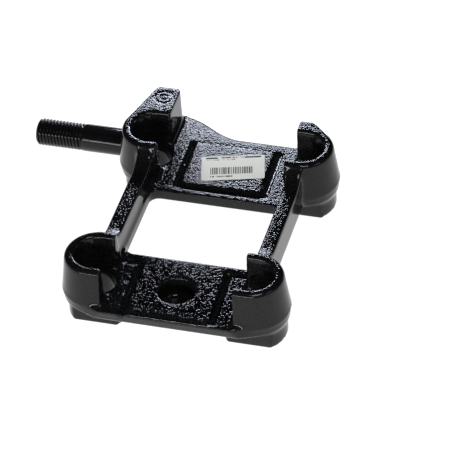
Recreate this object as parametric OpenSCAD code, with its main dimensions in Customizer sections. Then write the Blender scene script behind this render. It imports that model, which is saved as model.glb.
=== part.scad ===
// Spring clamp plate: an iron casting that four U-bolt legs pull against a leaf spring,
// with a threaded steel stud for the eye of a shock absorber and a paper stock label.
// Millimetres, +Z up. The origin is the middle of the U-bolt pattern, on the plane of the feet.
// X runs along the axle, Y along the spring.

/* [U-bolts] */
// Distance between the two legs of one U-bolt
bolt_x = 110; // [104:1:116]
// Distance between the two U-bolts
bolt_y = 136; // [132:1:142]
// Diameter of the round hole for a leg
leg_hole_d = 24; // [20:0.5:25]

/* [Plate] */
// Thickness of the plate
plate_t = 9; // [7:0.5:12]
// Height of the feet under the plate
foot_drop = 15; // [10:1:18]
// Depth of the plate from its front edge to its straight back edge
plate_y = 196; // [190:1:202]
// Width of the window in the middle
window_x = 95; // [80:1:96]
// Front edge of the window, measured from the origin
window_front = -35.5; // [-40:0.5:-30]
// Back edge of the window, measured from the origin
window_back = 32; // [26:1:36]
// How far the back edge swells out beside the stud boss
swell = 18.5; // [10:0.5:20]

/* [Towers] */
// Height of a tower above the plate
tower_h = 27; // [20:0.5:34]
// Outer radius of a tower at its rim
rim_r = 22.2; // [21.6:0.2:24]
// Outer radius of a tower at the parting line
belt_r = 25.4; // [24.6:0.2:27]
// Radius of a leg's channel at the rim
channel_rim_r = 15.4; // [14.6:0.1:16]
// Radius of a leg's channel at the plate
channel_floor_r = 12.5; // [12.3:0.1:13.5]
// Reach of the two arms of a tower towards the spring
arm_reach = 8.5; // [6:0.5:10]
// Rounding of a rim's outer edge
rim_round = 3; // [1:0.5:4]
// Rounding of a rim's inner edge
lip_round = 1.5; // [0.5:0.25:2]

/* [Feet] */
// Radius of a foot where a U-bolt nut bears
foot_r = 22.5; // [21:0.1:24]
// Distance from a leg hole's axis to the flats of its foot
foot_flat = 16.6; // [16:0.2:19]

/* [Ribs] */
// Inner face of a side rib, measured from the middle
rib_in = 49; // [48:0.2:50]
// Outer face of a side rib, measured from the middle
rib_out = 60; // [58:0.2:62]
// Height of a side rib above the plate between the towers
rib_h = 15; // [10:0.5:18]
// Radius of the curve that lifts a rib up to a rim
swoop_r = 22; // [20:0.5:26]

/* [Pads] */
// Distance from the middle to the side grooves
groove_x = 31.2; // [28:0.2:34]
// Width of a groove
groove_w = 4.2; // [2:0.2:4.6]
// Depth of a groove
groove_d = 1.6; // [0.8:0.2:2.4]
// Front groove of the back pad, measured from the origin
back_pad_front = 40; // [38:0.2:43]
// Back line of the back pad, measured from the origin
back_pad_back = 88.4; // [84:0.2:92]
// Cross grooves of the front pad, measured from the origin
front_pad_back = -43.4; // [-46:0.2:-40]
// Front line of the front pad, measured from the origin
front_pad_front = -94.8; // [-95.2:0.2:-88]

/* [Centre recess] */
// Diameter of the blind recess for the spring's centre bolt
recess_d = 25; // [22:0.5:30]
// Depth of the recess
recess_depth = 15; // [8:1:18]
// Place of the recess along the spring
recess_y = -66.5; // [-70:0.5:-64]

/* [Stud boss and stud] */
// Diameter of the plain shank
shank_d = 20; // [18:0.5:22]
// Outer diameter of the thread
thread_d = 19.8; // [18:0.1:20]
// Length of the thread
thread_l = 36; // [25:1:45]
// Distance from the middle to the tip of the stud
stud_reach = 152; // [140:1:165]
// Place of the stud's axis along the spring
stud_y = 92.5; // [91:0.5:96]
// Height of the stud's axis above the plane of the feet
stud_z = 10.5; // [10:0.5:14]
// Diameter of the spigot that is pressed into the boss
spigot_d = 16; // [14:0.5:17]
// Length of the spigot
spigot_l = 22; // [16:1:25]

/* [Label] */
// Width of the paper label
label_w = 45; // [30:1:50]
// Height of the paper label
label_h = 26; // [15:1:30]
// Angle at which the label is stuck on
label_turn = 15; // [-30:1:30]

/* [Hidden] */
$fn = 72;
floor_z = foot_drop + plate_t;
rim_z = floor_z + tower_h;
belt_z = floor_z - 1;
arm_x = bolt_x / 2 - arm_reach;
front_y = -plate_y / 2;
back_y = plate_y / 2;
// Rounding of the window's corners
window_r = 7;
// Half width of the plate inside the towers, and where its front corners run back to it
shoulder_x = 64;
shoulder_y = 60;
shoulder_run = 7;
// Where the plate narrows to the outer faces of the ribs
waist_y = 45;
// Stud boss: its outer face, its back, its slanted corner and its two rounded corners
boss_face_x = -76;
boss_back_y = 113;
boss_slant = [-75.5, 74];
boss_left_x = -65.5;
boss_corner_r = 6;
boss_arm_r = 3;
// Block under the boss: its reach in front of the stud's axis, and its step behind the boss
block_side = 14;
block_step = 2;
// Outline of the thicker rear arm at the back right tower
rear_arm_outline = [[arm_x, 86], [arm_x, 95], [56.5, 95], [65, 87.8], [69, 82]];
// Width and depth of the scored line at the back of the back pad
back_line_w = 1.2;
back_line_d = 0.6;
// Width and depth of the gutter at the front of the front pad
gutter_w = 3;
gutter_d = 1;
// Flash left at the parting line, and the wall of the cup round the recess
flash = 0.6;
cup_wall = 4.5;
// Radial play that a press fit is drawn with, and the free depth behind the spigot
seat_play = 0.02;
seat_spare = 0.5;
// Chamfer at the tip of the stud
tip = 2.5;
// Middle of the label, and its thickness
label_at = [3.5, 65.7];
paper_t = 0.3;
// Overrun of the cuts
cut = 1;
black = [0.10, 0.10, 0.11];

// Points along an arc about (cx, cy)
function arc(cx, cy, r, from, to, steps) =
    [for (i = [0:steps]) let (a = from + (to - from) * i / steps) [cx + r * cos(a), cy + r * sin(a)]];

// One half of a tower's section, from its axis outwards, with the rounded rim and the flash line
function tower_half() = concat(
    [[0, foot_drop], [belt_r - 0.8, foot_drop], [belt_r, belt_z - 0.6]],
    [[belt_r + flash, belt_z], [belt_r, belt_z + 0.6]],
    arc(rim_r - rim_round, rim_z - rim_round, rim_round, 7, 90, 6),
    [[0, rim_z]]);

// One half of the channel's section, wider at the rim and rounded at its lip
function channel_half() = concat(
    [[0, floor_z], [channel_floor_r, floor_z], [channel_rim_r, rim_z - lip_round]],
    arc(channel_rim_r + lip_round, rim_z - lip_round, lip_round, 180, 90, 4),
    [[channel_rim_r + lip_round, rim_z + cut], [0, rim_z + cut]]);

// A half section mirrored to a full one
function both_sides(half) =
    concat(half, [for (i = [len(half) - 1:-1:0]) [-half[i][0], half[i][1]]]);

// Places what is drawn at the origin on one leg's axis, opening towards the spring
module at_leg(sx, sy) {
    translate([sx * bolt_x / 2, sy * bolt_y / 2, 0])
        mirror([sx < 0 ? 1 : 0, 0, 0])
            children();
}

// A section drawn in the YZ plane and carried along -X from the leg's axis
module carry_inwards(length) {
    rotate([90, 0, -90])
        linear_extrude(length)
            children();
}

module tower_body() {
    rotate_extrude()
        polygon(tower_half());
    carry_inwards(arm_reach)
        polygon(both_sides(tower_half()));
}

module channel() {
    rotate_extrude()
        polygon(channel_half());
    carry_inwards(arm_reach + cut)
        polygon(both_sides(channel_half()));
}

module foot() {
    intersection() {
        cylinder(h = foot_drop + cut, r = foot_r);
        translate([-foot_r, -foot_flat, -cut])
            cube([2 * foot_r, 2 * foot_flat, foot_drop + 3 * cut]);
    }
}

// Everything above the plate between the tower arms, where the spring sits
module spring_gap() {
    translate([-arm_x, -plate_y, floor_z])
        cube([2 * arm_x, 2 * plate_y, 2 * tower_h]);
}

module plate() {
    side = [[shoulder_x, -shoulder_y], [rib_out, -waist_y], [rib_out, waist_y], [shoulder_x, shoulder_y]];
    corner_y = front_y + shoulder_run;
    swollen_edge = [for (i = [0:12]) [-arm_x * i / 12, back_y + swell * (1 - cos(15 * i)) / 2]];
    translate([0, 0, foot_drop])
        linear_extrude(plate_t)
            polygon(concat(
                [[-arm_x, front_y], [arm_x, front_y], [shoulder_x, corner_y]],
                side,
                [[shoulder_x, bolt_y / 2], [arm_x, back_y]],
                swollen_edge,
                [[-shoulder_x, bolt_y / 2]],
                [for (i = [3:-1:0]) [-side[i][0], side[i][1]]],
                [[-shoulder_x, corner_y]]));
}

module window() {
    depth = window_back - window_front;
    round_x = window_x / 2 - window_r;
    round_y = depth / 2 - window_r;
    translate([0, (window_front + window_back) / 2, foot_drop - cut])
        linear_extrude(plate_t + 2 * cut) {
            square([2 * round_x, depth], center = true);
            square([window_x, 2 * round_y], center = true);
            for (sx = [-1, 1], sy = [-1, 1])
                translate([sx * round_x, sy * round_y])
                    circle(window_r);
        }
}

// Side rib: low between the towers, lifted in a curve up to each rim
module rib(side) {
    end_y = bolt_y / 2 - rim_r + 2;
    rise = tower_h - rib_h;
    sweep_angle = acos((swoop_r - rise) / swoop_r);
    start_y = end_y - swoop_r * sin(sweep_angle);
    curve = arc(start_y, floor_z + rib_h + swoop_r, swoop_r, -90, sweep_angle - 90, 8);
    profile = concat(
        [[-end_y - 6, foot_drop], [end_y + 6, foot_drop], [end_y + 6, rim_z]],
        [for (i = [8:-1:0]) curve[i]],
        [for (i = [0:8]) [-curve[i][0], curve[i][1]]],
        [[-end_y - 6, rim_z]]);
    translate([side > 0 ? rib_out : -rib_in, 0, 0])
        rotate([90, 0, -90])
            linear_extrude(rib_out - rib_in)
                polygon([for (p = profile) [-p[0], p[1]]]);
}

// Boss behind the back left tower, which holds the stud
module stud_boss() {
    linear_extrude(rim_z)
        polygon(concat(
            [[-bolt_x / 2 - rim_r + 0.4, bolt_y / 2], boss_slant],
            arc(boss_left_x + boss_corner_r, boss_back_y - boss_corner_r, boss_corner_r, 165, 90, 4),
            arc(-arm_x - boss_arm_r, boss_back_y - boss_arm_r, boss_arm_r, 90, 0, 4),
            [[-arm_x, stud_y - shank_d / 2]]));
    // Lower block round the stud's seat
    translate([boss_face_x, stud_y - block_side, 0])
        cube([-arm_x - boss_face_x, block_side + boss_back_y + block_step - stud_y, floor_z]);
}

// Thicker rear arm of the back right tower
module rear_arm() {
    translate([0, 0, foot_drop])
        linear_extrude(rim_z - foot_drop)
            polygon(rear_arm_outline);
}

// Groove across both pads' width, cut down from the plate's face
module cross_groove(y, width, depth) {
    translate([-groove_x, y - width / 2, floor_z - depth])
        cube([2 * groove_x, width, tower_h]);
}

module grooves() {
    cut_z = floor_z - groove_d;
    back_l = back_pad_back - back_pad_front + groove_w / 2;
    front_l = front_pad_back - front_pad_front + groove_w / 2;
    for (sx = [-1, 1]) {
        translate([sx * groove_x - groove_w / 2, back_pad_front - groove_w / 2, cut_z])
            cube([groove_w, back_l, tower_h]);
        translate([sx * groove_x - groove_w / 2, front_pad_front, cut_z])
            cube([groove_w, front_l, tower_h]);
        translate([sx > 0 ? groove_x : -arm_x, front_pad_back - groove_w / 2, cut_z])
            cube([arm_x - groove_x, groove_w, tower_h]);
    }
    cross_groove(back_pad_front, groove_w, groove_d);
    cross_groove(back_pad_back, back_line_w, back_line_d);
    cross_groove(front_pad_front, gutter_w, gutter_d);
}

// Round cup under the front pad, closed at the bottom
module recess_cup() {
    translate([0, recess_y, floor_z - recess_depth - cup_wall])
        cylinder(h = recess_depth + cup_wall, d = recess_d + 2 * cup_wall);
}

module recess() {
    translate([0, recess_y, floor_z - recess_depth])
        cylinder(h = recess_depth + cut, d = recess_d);
}

module stud_seat() {
    translate([boss_face_x - cut, stud_y, stud_z])
        rotate([0, 90, 0])
            cylinder(h = cut + spigot_l + seat_spare, d = spigot_d + 2 * seat_play);
}

module plate_casting() {
    color(black)
        difference() {
            union() {
                difference() {
                    union() {
                        for (sx = [-1, 1], sy = [-1, 1])
                            at_leg(sx, sy) tower_body();
                        rib(-1);
                        rib(1);
                        stud_boss();
                        rear_arm();
                    }
                    spring_gap();
                    for (sx = [-1, 1], sy = [-1, 1])
                        at_leg(sx, sy) channel();
                }
                plate();
                recess_cup();
                for (sx = [-1, 1], sy = [-1, 1])
                    at_leg(sx, sy) foot();
            }
            for (sx = [-1, 1], sy = [-1, 1])
                at_leg(sx, sy)
                    translate([0, 0, -cut])
                        cylinder(h = floor_z + 2 * cut, d = leg_hole_d);
            window();
            grooves();
            recess();
            stud_seat();
        }
}

// Turned stud: spigot, plain shank, thread on its outer diameter and a chamfered tip
module shock_absorber_stud() {
    shank_l = stud_reach + boss_face_x - thread_l;
    color([0.16, 0.16, 0.17])
        translate([boss_face_x, stud_y, stud_z])
            rotate([0, -90, 0]) {
                translate([0, 0, -spigot_l])
                    cylinder(h = spigot_l, d = spigot_d);
                cylinder(h = shank_l, d = shank_d);
                translate([0, 0, shank_l])
                    cylinder(h = thread_l - tip, d = thread_d);
                translate([0, 0, shank_l + thread_l - tip])
                    cylinder(h = tip, d1 = thread_d, d2 = thread_d - 2 * tip);
            }
}

module barcode_label() {
    color("white")
        translate([label_at[0], label_at[1], floor_z])
            rotate([0, 0, label_turn])
                translate([-label_w / 2, -label_h / 2, 0])
                    cube([label_w, label_h, paper_t]);
}

plate_casting();
shock_absorber_stud();
barcode_label();
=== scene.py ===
# %% [markdown]
# A clamp plate for a truck's leaf spring: one iron casting in gloss black paint, a threaded steel
# stud for a shock absorber, and a paper stock label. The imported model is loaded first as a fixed
# frame. Everything made after it takes its place from that frame, in metres.

# %% Load the frame
import math

import bmesh
import bpy
import numpy as np
from mathutils import Matrix, Vector, noise


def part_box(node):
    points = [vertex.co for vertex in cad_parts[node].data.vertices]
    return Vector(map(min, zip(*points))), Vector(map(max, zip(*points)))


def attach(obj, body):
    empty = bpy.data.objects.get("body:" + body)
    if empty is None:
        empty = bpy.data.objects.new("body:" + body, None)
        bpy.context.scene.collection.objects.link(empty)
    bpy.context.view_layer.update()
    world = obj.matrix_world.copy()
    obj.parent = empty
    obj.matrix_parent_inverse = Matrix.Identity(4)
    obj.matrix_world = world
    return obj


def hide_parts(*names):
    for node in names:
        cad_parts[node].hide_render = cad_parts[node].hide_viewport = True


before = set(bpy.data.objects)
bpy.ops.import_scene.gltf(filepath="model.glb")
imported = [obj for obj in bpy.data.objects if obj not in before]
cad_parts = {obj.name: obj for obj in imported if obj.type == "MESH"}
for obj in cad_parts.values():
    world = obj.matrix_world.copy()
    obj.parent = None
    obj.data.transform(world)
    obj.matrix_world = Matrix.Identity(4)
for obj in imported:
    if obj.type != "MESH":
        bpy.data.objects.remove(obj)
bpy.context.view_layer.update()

MM = 0.001

# %% [markdown]
# The camera comes early, because it settles what is seen. A long lens from about two metres is
# what a catalogue studio uses: it keeps the four towers nearly the same size. Its direction is
# given by an azimuth and an elevation, and a slight roll finishes the framing.

# %% Camera
AZIMUTH, ELEVATION, ROLL = (math.radians(v) for v in (18.49, 41.26, -4.5))
DISTANCE = 2.2448
LENS, SENSOR = 257.98, 36
AIM = Vector((14.29, 5.31, 24)) * MM
back = Vector((math.sin(AZIMUTH) * math.cos(ELEVATION), -math.cos(AZIMUTH) * math.cos(ELEVATION),
               math.sin(ELEVATION)))
side = Vector((math.cos(AZIMUTH), math.sin(AZIMUTH), 0))
above = back.cross(side)
right = side * math.cos(ROLL) + above * math.sin(ROLL)
up = above * math.cos(ROLL) - side * math.sin(ROLL)

camera_data = bpy.data.cameras.new("camera")
camera_data.lens = LENS
camera_data.sensor_width = SENSOR
camera_data.clip_end = 50
camera = bpy.data.objects.new("camera", camera_data)
turn = Matrix((right, up, back)).transposed().to_4x4()
camera.matrix_world = Matrix.Translation(AIM + back * DISTANCE) @ turn
bpy.context.scene.collection.objects.link(camera)
bpy.context.scene.camera = camera
print("camera at", [round(v, 3) for v in camera.location])

# %% [markdown]
# Every material is a node tree, so three helpers pay for themselves at once: one turns the hex
# colour that a person picks into the linear numbers the shader wants, one adds a node with its
# settings and its links in a single call, and one makes a material with an empty tree.

# %% Helpers for materials
def colour(hex_code):
    """An sRGB hex colour as linear RGBA."""
    parts = [int(hex_code[i:i + 2], 16) / 255 for i in (1, 3, 5)]
    return [p / 12.92 if p <= 0.04045 else ((p + 0.055) / 1.055) ** 2.4 for p in parts] + [1.0]


def add(tree, kind, sockets=None, **settings):
    """Adds a node. A value in sockets is a number or colour, or another node's output."""
    made = tree.nodes.new(kind)
    for name, value in settings.items():
        setattr(made, name, value)
    for name, value in (sockets or {}).items():
        if isinstance(value, bpy.types.NodeSocket):
            tree.links.new(value, made.inputs[name])
        else:
            made.inputs[name].default_value = value
    return made


def new_material(name):
    """A material with an empty tree, and the tree."""
    material = bpy.data.materials.new(name)
    material.use_nodes = True
    material.node_tree.nodes.clear()
    return material, material.node_tree


# %% [markdown]
# Gloss black enamel, dipped or sprayed over a sand-cast iron skin. Paint levels the fine sand
# marks but not the coarse ones, so the flat, upward faces stay pebbled and glitter under a lamp,
# while the drafted sides, which slid along the mould's wall, come out smoother. The slope of the
# face and its height drive how strong the grain is. Each pebble is a cell of a Voronoi pattern,
# 1.2 mm across, with a low dome in it. A slow noise adds a swell under the pebbles.

# %% Black enamel over cast iron
GRAIN, LUMP = 1.2 * MM, 6 * MM
PEBBLE_HEIGHT, SWELL = 0.24 * MM, 0.35
STEEP, LEVEL = 0.80, 0.985
TOP_FROM, TOP_TO = 23.3 * MM, 23.8 * MM
GLOSS_LOW, GLOSS_HIGH = 0.07, 0.11
PAINT_IOR = 1.34


def black_enamel_on_cast_iron():
    material, tree = new_material("black_enamel_on_cast_iron")
    place = add(tree, "ShaderNodeTexCoord")
    split = add(tree, "ShaderNodeSeparateXYZ", {0: place.outputs["Normal"]})
    level = add(tree, "ShaderNodeMapRange", {0: split.outputs["Z"], 1: STEEP, 2: LEVEL, 3: 0.08, 4: 1.0},
                interpolation_type="SMOOTHSTEP")
    spot = add(tree, "ShaderNodeSeparateXYZ", {0: place.outputs["Object"]})
    on_top = add(tree, "ShaderNodeMapRange", {0: spot.outputs["Z"], 1: TOP_FROM, 2: TOP_TO, 3: 0.25, 4: 1.0})
    pebbled = add(tree, "ShaderNodeMath", {0: level.outputs[0], 1: on_top.outputs[0]}, operation="MULTIPLY")
    cells = add(tree, "ShaderNodeTexVoronoi", {"Vector": place.outputs["Object"], "Scale": 1 / GRAIN})
    grain = add(tree, "ShaderNodeMath", {0: cells.outputs["Distance"], 1: 2.0}, operation="POWER")
    lumps = add(tree, "ShaderNodeTexNoise", {"Vector": place.outputs["Object"], "Scale": 1 / LUMP,
                                             "Detail": 3.0, "Roughness": 0.5})
    swell = add(tree, "ShaderNodeMath", {0: lumps.outputs["Fac"], 1: SWELL}, operation="MULTIPLY")
    height = add(tree, "ShaderNodeMath", {0: swell.outputs[0], 1: grain.outputs[0]}, operation="SUBTRACT")
    bump = add(tree, "ShaderNodeBump", {"Strength": pebbled.outputs[0], "Distance": PEBBLE_HEIGHT,
                                        "Height": height.outputs[0]})
    gloss = add(tree, "ShaderNodeMapRange", {0: lumps.outputs["Fac"], 1: 0.3, 2: 0.7,
                                                3: GLOSS_LOW, 4: GLOSS_HIGH})
    # Painted shade: the base colour is darker in the hollows between the pebbles and lighter on their domes,
    # following the grain's relief.
    pebble_painted_shade = add(tree, "ShaderNodeMapRange", {0: grain.outputs[0], 1: 0.0, 2: 0.5, 3: 1.0, 4: 0.0})
    tone = add(tree, "ShaderNodeMix", {0: pebble_painted_shade.outputs[0], 6: colour("#0c0c0d"), 7: colour("#1b1b1d")},
               data_type="RGBA")
    shader = add(tree, "ShaderNodeBsdfPrincipled", {"Base Color": tone.outputs[2], "Roughness": gloss.outputs[0],
                                                    "IOR": PAINT_IOR, "Normal": bump.outputs[0]})
    add(tree, "ShaderNodeOutputMaterial", {"Surface": shader.outputs[0]})
    return material


enamel = black_enamel_on_cast_iron()
print("made", enamel.name)

# %% [markdown]
# The casting is the hard piece. On the real one every inner corner is filled by a fillet and every
# outer edge is rounded, because sand would crumble and iron would crack at a sharp corner. Bevels
# could do that on a simple body, but here cones, arms, ribs and a boss all run into each other.
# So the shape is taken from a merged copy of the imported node, a few cutters and fillers add the
# moulder's drafts, a voxel remesh turns all of it into one even skin, and smoothing that skin
# gives the roundings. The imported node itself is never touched.

# %% Dimensions of the casting that the pieces share
FLOOR_Z = 24 * MM
casting_low, casting_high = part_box("plate_casting")
stud_low, stud_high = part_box("shock_absorber_stud")
RIM_Z = casting_high.z
FRONT_Y = casting_low.y
print("rim at", round(RIM_Z / MM, 1), "mm, front at", round(FRONT_Y / MM, 1), "mm")


# %% Helpers for shapes
def link(mesh, name):
    made = bpy.data.objects.new(name, mesh)
    bpy.context.scene.collection.objects.link(made)
    return made


def finish_mesh(bm, name):
    """Merges doubles, turns the faces outwards and makes an object."""
    bmesh.ops.remove_doubles(bm, verts=bm.verts, dist=1e-6)
    bmesh.ops.recalc_face_normals(bm, faces=bm.faces)
    mesh = bpy.data.meshes.new(name)
    bm.to_mesh(mesh)
    bm.free()
    return link(mesh, name)


def prism(bm, outline, along):
    """A straight bar with the given outline of points, in mm, pushed along a vector in mm."""
    verts = [bm.verts.new(Vector(p) * MM) for p in outline]
    face = bm.faces.new(verts)
    pushed = bmesh.ops.extrude_face_region(bm, geom=[face])
    moved = [g for g in pushed["geom"] if isinstance(g, bmesh.types.BMVert)]
    bmesh.ops.translate(bm, verts=moved, vec=Vector(along) * MM)


def applied(piece, name):
    """A new object with the piece's modifiers applied; the old one goes."""
    graph = bpy.context.evaluated_depsgraph_get()
    mesh = bpy.data.meshes.new_from_object(piece.evaluated_get(graph))
    bpy.data.objects.remove(piece)
    mesh.name = name
    return link(mesh, name)


def combine(piece, other, operation):
    """Cuts the other shape out of the piece, or joins it on."""
    modifier = piece.modifiers.new(operation.lower(), "BOOLEAN")
    modifier.operation = operation
    modifier.solver = "EXACT"
    modifier.object = other
    made = applied(piece, piece.name)
    bpy.data.objects.remove(other)
    return made


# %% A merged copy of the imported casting
copy_bm = bmesh.new()
copy_bm.from_mesh(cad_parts["plate_casting"].data)
bmesh.ops.remove_doubles(copy_bm, verts=copy_bm.verts, dist=2e-6)
copy_mesh = bpy.data.meshes.new("casting_copy")
copy_bm.to_mesh(copy_mesh)
open_edges = sum(1 for e in copy_bm.edges if not e.is_manifold)
copy_bm.free()
casting = link(copy_mesh, "casting_copy")
print("merged copy:", len(copy_mesh.vertices), "points,", open_edges, "open edges")

# %% Cutters: drafts, groove walls and the lead-in of the recess
cut_bm = bmesh.new()
front = FRONT_Y / MM
RECESS_Y = -66.5 * MM
DISH_LOW_R, DISH_HIGH_R, DISH_DEPTH = 12.2 * MM, 15.4 * MM, 3.2 * MM


def groove(bm, start, end, width, depth):
    """A straight groove with sloping walls, cut down from the plate's face. Points and sizes in mm."""
    a, b = Vector((*start, FLOOR_Z / MM)), Vector((*end, FLOOR_Z / MM))
    across = (b - a).cross(Vector((0, 0, 1))).normalized()
    lower, deep = across * width * 0.22, Vector((0, 0, depth))
    wide, lift = across * width * 0.78, Vector((0, 0, 1.2))
    prism(bm, [a - lower - deep, a + lower - deep, a + wide + lift, a - wide + lift], b - a)


GROOVES = [((-32, 88), (-31.6, 38), 4.2, 2.2), ((-33.5, 39.8), (34, 39.8), 5.2, 2.2),
           ((29.2, 88), (29.2, 50), 2.4, 1.3), ((33.2, 88), (33.8, 38), 3.4, 2.0),
           ((-29, 88.4), (33, 88.4), 1.5, 0.45),
           ((-33.3, -44), (-30.6, -98), 3.6, 2.2), ((30.2, -42), (32.2, -95), 4.4, 2.2),
           ((-32, -44.4), (-47, -44.4), 4.6, 1.8), ((32, -43), (47, -43), 3.8, 1.8),
           ((-30, -94.9), (32, -94.9), 3.0, 1.5)]
for start, end, width, depth in GROOVES:
    tool_bm = bmesh.new()
    groove(tool_bm, start, end, width, depth)
    casting = combine(casting, finish_mesh(tool_bm, "groove_cutter"), "DIFFERENCE")

dish_bm = bmesh.new()
bmesh.ops.create_cone(dish_bm, cap_ends=True, segments=64, radius1=DISH_LOW_R, radius2=DISH_HIGH_R,
                      depth=DISH_DEPTH)
bmesh.ops.translate(dish_bm, verts=dish_bm.verts, vec=(0, RECESS_Y, FLOOR_Z + 0.4 * MM))
casting = combine(casting, finish_mesh(dish_bm, "dish_cutter"), "DIFFERENCE")
prism(cut_bm, [(-70, front - 1, 22.6), (-70, front + 0.2, 22.6), (-70, front + 2.4, 14), (-70, front - 1, 14)],
      (140, 0, 0))
cutters = finish_mesh(cut_bm, "cutters")
casting = combine(casting, cutters, "DIFFERENCE")
print("after the cuts:", len(casting.data.vertices), "points")

# %% Fillers: the drafted back of the boss
fill_bm = bmesh.new()
prism(fill_bm, [(-64, 112.6, 50.5), (-64, 116.2, 24), (-64, 108, 24), (-64, 108, 50.5)], (15, 0, 0))
fillers = finish_mesh(fill_bm, "fillers")

# %% [markdown]
# The voxel remesh fuses the copy and the fillers. Its cells are 1.04 mm, fine enough for the
# 4 mm grooves. Then two kinds of smoothing run on the points. Everywhere, each point moves towards the
# middle of its neighbours a few times, which rounds the outer edges by about a millimetre. In the
# hollow corners alone it goes on for longer, and that grows a fillet, as a moulder's wax strip
# does. The pads are left out of that, or their grooves would fill up. The back edge of the plate
# gets more rounding than the rest.

# %% Remesh the casting
VOXEL = 1.04 * MM


def joined(parts, name):
    """All the parts' meshes in one object."""
    bm = bmesh.new()
    for part in parts:
        bm.from_mesh(part.data)
        bpy.data.objects.remove(part)
    mesh = bpy.data.meshes.new(name)
    bm.to_mesh(mesh)
    bm.free()
    return link(mesh, name)


casting = joined([casting, fillers], "casting_fused")
remesh = casting.modifiers.new("remesh", "REMESH")
remesh.mode = "VOXEL"
remesh.voxel_size = VOXEL
casting = applied(casting, "casting_skin")
print("skin:", len(casting.data.vertices), "points")


# %% Smooth the skin and grow the fillets
def read_points(mesh, what="co"):
    values = np.empty(len(mesh.vertices) * 3, np.float32)
    mesh.vertices.foreach_get(what, values)
    return values.reshape(-1, 3).astype(float)


def write_points(mesh, points):
    mesh.vertices.foreach_set("co", points.astype(np.float32).ravel())
    mesh.update()


def soften(mesh, rounds, outer, inner, mask=None):
    """Moves points towards their neighbours: outer is the share on bulges, inner in hollows."""
    edges = np.empty(len(mesh.edges) * 2, np.int32)
    mesh.edges.foreach_get("vertices", edges)
    a, b = edges.reshape(-1, 2).T
    count = np.bincount(a, minlength=len(mesh.vertices)) + np.bincount(b, minlength=len(mesh.vertices))
    for _ in range(rounds):
        points, normals = read_points(mesh), read_points(mesh, "normal")
        total = np.stack([np.bincount(a, points[b, k], len(points)) + np.bincount(b, points[a, k], len(points))
                          for k in range(3)], axis=1)
        move = total / count[:, None] - points
        hollow = (move * normals).sum(1) > 0
        share = np.where(hollow, inner, outer)
        if mask is not None:
            share = share * mask
        write_points(mesh, points + move * share[:, None])


skin = casting.data
soften(skin, 3, 0.5, 0.5)
points = read_points(skin)
on_pads = (np.abs(points[:, 0]) < 43.5 * MM) & (points[:, 2] > FLOOR_Z - 3 * MM)
soften(skin, 22, 0.0, 0.7, mask=np.where(on_pads, 0.0, 1.0))
at_back = (np.abs(points[:, 0]) < 45 * MM) & (points[:, 1] > 91 * MM) & (points[:, 2] > 10 * MM)
soften(skin, 30, 0.6, 0.0, mask=np.where(at_back, 1.0, 0.0))
soften(skin, 1, 0.5, 0.5)
print("skin smoothed")

# %% [markdown]
# Sand leaves a plane a little wavy, and a founder sinks a round mark into the top of the boss, here
# two plain rings. Both are real shape, so they go into the points. The waves are 7 mm long and
# 0.03 mm high.

# %% Waves of the sand mould and the casting mark
WAVE, WAVE_HEIGHT = 7 * MM, 0.03 * MM
MARK = Vector((-56, 101, 0)) * MM
MARK_R, MARK_HALF, MARK_DEPTH = 6.3 * MM, 0.8 * MM, 0.6 * MM

points, normals = read_points(skin), read_points(skin, "normal")
waves = np.array([noise.noise(Vector(p) / WAVE) for p in points])
points += normals * (waves * WAVE_HEIGHT)[:, None]
from_mark = np.hypot(points[:, 0] - MARK.x, points[:, 1] - MARK.y)
on_boss = (points[:, 2] > RIM_Z - 1.5 * MM) & (normals[:, 2] > 0.7)
rings = sum(np.exp(-((from_mark - ring) / MARK_HALF) ** 2) for ring in (MARK_R, 0.45 * MARK_R))
points[:, 2] -= np.where(on_boss, MARK_DEPTH * rings, 0)
points = np.clip(points, casting_low, casting_high)
write_points(skin, points)

# %% Thin the casting's skin to its budget
TRIANGLES = 190000
thin = casting.modifiers.new("thin", "DECIMATE")
thin.ratio = min(1.0, TRIANGLES / sum(len(p.vertices) - 2 for p in skin.polygons))
casting = applied(casting, "painted_casting")
write_points(casting.data, np.clip(read_points(casting.data), casting_low, casting_high))
casting.data.polygons.foreach_set("use_smooth", [True] * len(casting.data.polygons))
casting.data.materials.clear()
casting.data.materials.append(enamel)
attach(casting, "root")
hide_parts("plate_casting")
print("casting:", len(casting.data.polygons), "faces")

# %% [markdown]
# The stud is turned from bar and threaded M20 with a 2.5 mm pitch. A thread can be faked with
# rings, but rings don't climb. A spin with a step along the axis does: one turn of the profile
# moves it by exactly one pitch, so each turn meets the next and the doubles merge. The ends are
# cut flat with a plane. The points near the tip are held inside a cone, which is the chamfer,
# and those near the shank are lifted, which is the run-out.

# %% Black stud steel
def black_stud_steel():
    material, tree = new_material("black_painted_turned_steel")
    place = add(tree, "ShaderNodeTexCoord")
    lumps = add(tree, "ShaderNodeTexNoise", {"Vector": place.outputs["Object"], "Scale": 1 / (3 * MM), "Detail": 3.0})
    gloss = add(tree, "ShaderNodeMapRange", {0: lumps.outputs["Fac"], 1: 0.3, 2: 0.7, 3: 0.13, 4: 0.2})
    bump = add(tree, "ShaderNodeBump", {"Strength": 0.25, "Distance": 0.08 * MM, "Height": lumps.outputs["Fac"]})
    shader = add(tree, "ShaderNodeBsdfPrincipled", {"Base Color": colour("#121213"), "Roughness": gloss.outputs[0],
                                                    "IOR": PAINT_IOR, "Normal": bump.outputs[0]})
    add(tree, "ShaderNodeOutputMaterial", {"Surface": shader.outputs[0]})
    return material


steel = black_stud_steel()

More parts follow.
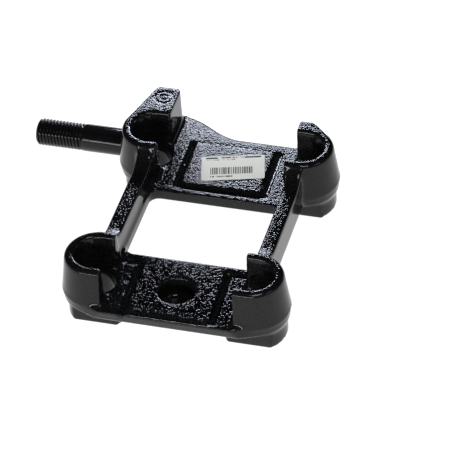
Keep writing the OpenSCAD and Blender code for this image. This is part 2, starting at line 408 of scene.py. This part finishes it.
# %% Stud: shank and thread
PITCH = 2.5 * MM
CREST_R, ROOT_R, SHANK_R = 9.85 * MM, 8.35 * MM, 10 * MM
THREAD_L, TIP = 36 * MM, 3 * MM
STEPS = 72
CREST_ROUND, TIP_DROP, RUN_OUT = 0.12 * MM, 3.4 * MM, 1.2 * PITCH
SPIGOT_R = 8 * MM
axis_y, axis_z = (stud_low.y + stud_high.y) / 2, (stud_low.z + stud_high.z) / 2
tip_x = stud_low.x
thread_x = tip_x + THREAD_L
centre = Vector((0, axis_y, axis_z))

thread_bm = bmesh.new()
profile = [(0, ROOT_R), (0.12, ROOT_R), (0.40, CREST_R - CREST_ROUND), (0.46, CREST_R), (0.54, CREST_R),
           (0.60, CREST_R - CREST_ROUND), (0.88, ROOT_R), (1.0, ROOT_R)]
start_x = tip_x - PITCH
verts = [thread_bm.verts.new((start_x + part * PITCH, axis_y, axis_z + r)) for part, r in profile]
edges = [thread_bm.edges.new(pair) for pair in zip(verts, verts[1:])]
turns = math.ceil((THREAD_L + 2 * PITCH) / PITCH)
bmesh.ops.spin(thread_bm, geom=verts + edges, cent=centre, axis=(1, 0, 0), dvec=(PITCH / STEPS, 0, 0),
               angle=2 * math.pi * turns, steps=STEPS * turns, use_merge=False, use_duplicate=False)
bmesh.ops.remove_doubles(thread_bm, verts=thread_bm.verts, dist=1e-6)
for cut_x, outwards in ((tip_x, -1), (thread_x + 1 * MM, 1)):
    everything = thread_bm.verts[:] + thread_bm.edges[:] + thread_bm.faces[:]
    bmesh.ops.bisect_plane(thread_bm, geom=everything, plane_co=(cut_x, 0, 0), plane_no=(outwards, 0, 0),
                           clear_outer=True)
    rim = [e for e in thread_bm.edges if e.is_boundary and abs(e.verts[0].co.x - cut_x) < 1e-6
           and abs(e.verts[1].co.x - cut_x) < 1e-6]
    bmesh.ops.holes_fill(thread_bm, edges=rim)
for v in thread_bm.verts:
    arm = Vector((0, v.co.y - axis_y, v.co.z - axis_z))
    from_tip = v.co.x - tip_x
    limit = CREST_R - TIP_DROP * (1 - math.sqrt(max(0.0, 1 - (1 - min(from_tip / TIP, 1)) ** 2)))
    run_out = max(0.0, 1 - (thread_x - v.co.x) / RUN_OUT)
    radius = min(arm.length + (CREST_R - arm.length) * min(run_out, 1), limit)
    if arm.length > 1e-5:
        v.co = Vector((v.co.x, axis_y, axis_z)) + arm.normalized() * radius
print("thread:", len(thread_bm.faces), "faces")

shank_bm = bmesh.new()
boss_x = casting_low.x if casting_low.x > stud_low.x + THREAD_L else -76 * MM
outline = [(stud_high.x, 0), (stud_high.x, SPIGOT_R), (boss_x + 1 * MM, SPIGOT_R), (boss_x + 1 * MM, SHANK_R),
           (thread_x + 0.5 * MM, SHANK_R), (thread_x, CREST_R), (thread_x, 0)]
ring = [shank_bm.verts.new((x, axis_y, axis_z + r)) for x, r in outline]
line = [shank_bm.edges.new(pair) for pair in zip(ring, ring[1:])]
bmesh.ops.spin(shank_bm, geom=ring + line, cent=centre, axis=(1, 0, 0), angle=2 * math.pi, steps=STEPS,
               use_merge=True)
bmesh.ops.remove_doubles(shank_bm, verts=shank_bm.verts, dist=1e-6)
shank = finish_mesh(shank_bm, "shank")
thread = finish_mesh(thread_bm, "thread")
stud = joined([shank, thread], "threaded_stud")
stud.data.materials.append(steel)
stud.data.polygons.foreach_set("use_smooth", [True] * len(stud.data.polygons))
split = stud.modifiers.new("edges", "EDGE_SPLIT")
split.split_angle = math.radians(40)
stud = applied(stud, "threaded_stud")
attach(stud, "root")
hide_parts("shock_absorber_stud")
print("stud:", len(stud.data.polygons), "faces")

# %% [markdown]
# The label is a strip of matt white paper, stuck on by hand and not quite flat: its corners lift a
# little from the pebbled paint. It is a fine grid with round corners, thickened to a tenth of a
# millimetre. Its print is a plain block of bars and dashes drawn from the label's own map, and it
# says nothing.

# %% Label paper with its print
LABEL_W, LABEL_H, LABEL_TURN = 45 * MM, 26 * MM, math.radians(15)


def label_paper():
    material, tree = new_material("matt_label_paper_with_black_print")
    chart = add(tree, "ShaderNodeUVMap", uv_map="label")
    split = add(tree, "ShaderNodeSeparateXYZ", {0: chart.outputs[0]})
    across, upwards = split.outputs["X"], split.outputs["Y"]

    def maths(operation, *values):
        return add(tree, "ShaderNodeMath", dict(enumerate(values)), operation=operation).outputs[0]

    def between(value, low, high):
        return maths("MULTIPLY", maths("GREATER_THAN", value, low), maths("LESS_THAN", value, high))

    def bars(left, right, low, high, pitch, thin, thick, seed):
        """A row of upright bars of random width inside a rectangle, all in mm."""
        place = maths("DIVIDE", across, pitch)
        dice = add(tree, "ShaderNodeTexWhiteNoise", {"W": maths("ADD", maths("FLOOR", place), seed)},
                   noise_dimensions="1D")
        share = maths("MULTIPLY_ADD", dice.outputs["Value"], thick - thin, thin)
        ink = maths("LESS_THAN", maths("FRACT", place), share)
        return maths("MULTIPLY", ink, maths("MULTIPLY", between(across, left, right), between(upwards, low, high)))

    ink = bars(6.3, 36.5, 6.4, 13.8, 1.25, 0.35, 0.75, 3.5)
    for row in ((6.3, 22, 3.2, 4.7, 1.1, 0.1, 1.2, 11.5), (3.2, 11.5, 23.4, 24.9, 9.0, 1.0, 1.0, 0.5),
                (11.5, 31, 23.7, 24.9, 1.3, -0.3, 1.4, 27.5), (31, 42.5, 23.4, 24.9, 9.0, 1.0, 1.0, 5.5),
                (4, 24, 21.6, 22.6, 0.9, -0.2, 1.0, 40.5)):
        ink = maths("MAXIMUM", ink, bars(*row))
    tone = add(tree, "ShaderNodeMix", {0: ink, 6: colour("#f2efdf"), 7: colour("#141312")}, data_type="RGBA")
    shader = add(tree, "ShaderNodeBsdfPrincipled", {"Base Color": tone.outputs[2], "Roughness": 0.7, "IOR": 1.45})
    add(tree, "ShaderNodeOutputMaterial", {"Surface": shader.outputs[0]})
    return material


paper = label_paper()
label_bm = bmesh.new()
bmesh.ops.create_grid(label_bm, x_segments=45, y_segments=26, size=0.5)
bmesh.ops.scale(label_bm, vec=(LABEL_W, LABEL_H, 1), verts=label_bm.verts)
chart = label_bm.loops.layers.uv.new("label")
CORNER_R = 1.6 * MM
for v in label_bm.verts:
    inset = Vector((abs(v.co.x) - LABEL_W / 2 + CORNER_R, abs(v.co.y) - LABEL_H / 2 + CORNER_R))
    if inset.x > 0 and inset.y > 0 and inset.length > CORNER_R:
        pulled = inset.normalized() * CORNER_R
        v.co.x = math.copysign(LABEL_W / 2 - CORNER_R + pulled.x, v.co.x)
        v.co.y = math.copysign(LABEL_H / 2 - CORNER_R + pulled.y, v.co.y)
for face in label_bm.faces:
    for loop in face.loops:
        loop[chart].uv = (loop.vert.co.x / MM + 22.5, loop.vert.co.y / MM + 13)
for v in label_bm.verts:
    reach = max(abs(v.co.x) / LABEL_W, abs(v.co.y) / LABEL_H) * 2
    lift = 0.25 * MM * max(0.0, reach - 0.8) / 0.2 * (0.5 + 0.5 * noise.noise(v.co / (9 * MM)))
    v.co.z = lift + 0.12 * MM
LABEL_AT = (3.5 * MM, 65.7 * MM, FLOOR_Z)
label_place = Matrix.Translation(LABEL_AT) @ Matrix.Rotation(LABEL_TURN, 4, "Z")
bmesh.ops.transform(label_bm, matrix=label_place, verts=label_bm.verts)
label = finish_mesh(label_bm, "barcode_sticker")
thick = label.modifiers.new("thickness", "SOLIDIFY")
thick.thickness = 0.1 * MM
thick.offset = -1
label = applied(label, "barcode_sticker")
label.data.materials.append(paper)
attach(label, "root")
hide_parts("barcode_label")
print("label:", len(label.data.polygons), "faces")

# %% [markdown]
# The studio: a wide, pale table that glows, a low and narrow soft box close behind, a small box
# above, a long strip in front, a box far out on the right, and a dark ceiling. Black gloss shows
# its surroundings more than its own colour. The pebbles on the flats mirror the box behind, the
# sides mirror the table, and the slopes that face up mirror the dark ceiling.

# %% Table
table_bm = bmesh.new()
bmesh.ops.create_circle(table_bm, cap_ends=True, segments=96, radius=3)
table = finish_mesh(table_bm, "table")
pale, pale_tree = new_material("pale_laminate")
pale_shader = add(pale_tree, "ShaderNodeBsdfPrincipled", {
    "Base Color": colour("#8c8c8c"), "Roughness": 0.9, "IOR": 1.3,
    "Emission Color": colour("#ffffff"), "Emission Strength": 1.0})
add(pale_tree, "ShaderNodeOutputMaterial", {"Surface": pale_shader.outputs[0]})
table.data.materials.append(pale)


# %% Lights
def soft_box(name, place, aim, size, radiance, tint="#ffffff"):
    """A rectangular light. Its power follows from the brightness of its face."""
    data = bpy.data.lights.new(name, "AREA")
    data.shape = "RECTANGLE"
    data.size, data.size_y = size
    data.energy = radiance * math.pi * size[0] * size[1]
    data.color = colour(tint)[:3]
    lamp = bpy.data.objects.new(name, data)
    way = Vector(aim) - Vector(place)
    lamp.rotation_mode = "QUATERNION"
    lamp.rotation_quaternion = way.to_track_quat("-Z", "Y")
    lamp.location = place
    lamp.visible_camera = False
    bpy.context.scene.collection.objects.link(lamp)
    print(name, "power", round(data.energy, 1))


soft_box("box_behind", (-0.0725, 0.27, 0.116), (-0.0725, 0, 0.116), (0.17, 0.022), 64, "#e6eeff")
soft_box("box_above", (0.2, -0.3, 0.55), (0.01, 0, 0.02), (0.2, 0.2), 8)
soft_box("strip_front", (-0.3, -1.4, 0.35), (0, 0, 0.03), (1.6, 0.16), 16)
soft_box("box_right", (1.2, -0.35, 0.95), (0, 0, 0.03), (0.5, 0.35), 2)

world = bpy.data.worlds.new("studio")
world.use_nodes = True
bpy.context.scene.world = world
world.node_tree.nodes["Background"].inputs["Color"].default_value = colour("#c8ccd2")
world.node_tree.nodes["Background"].inputs["Strength"].default_value = 0.02
bpy.context.scene.view_settings.view_transform = "Standard"
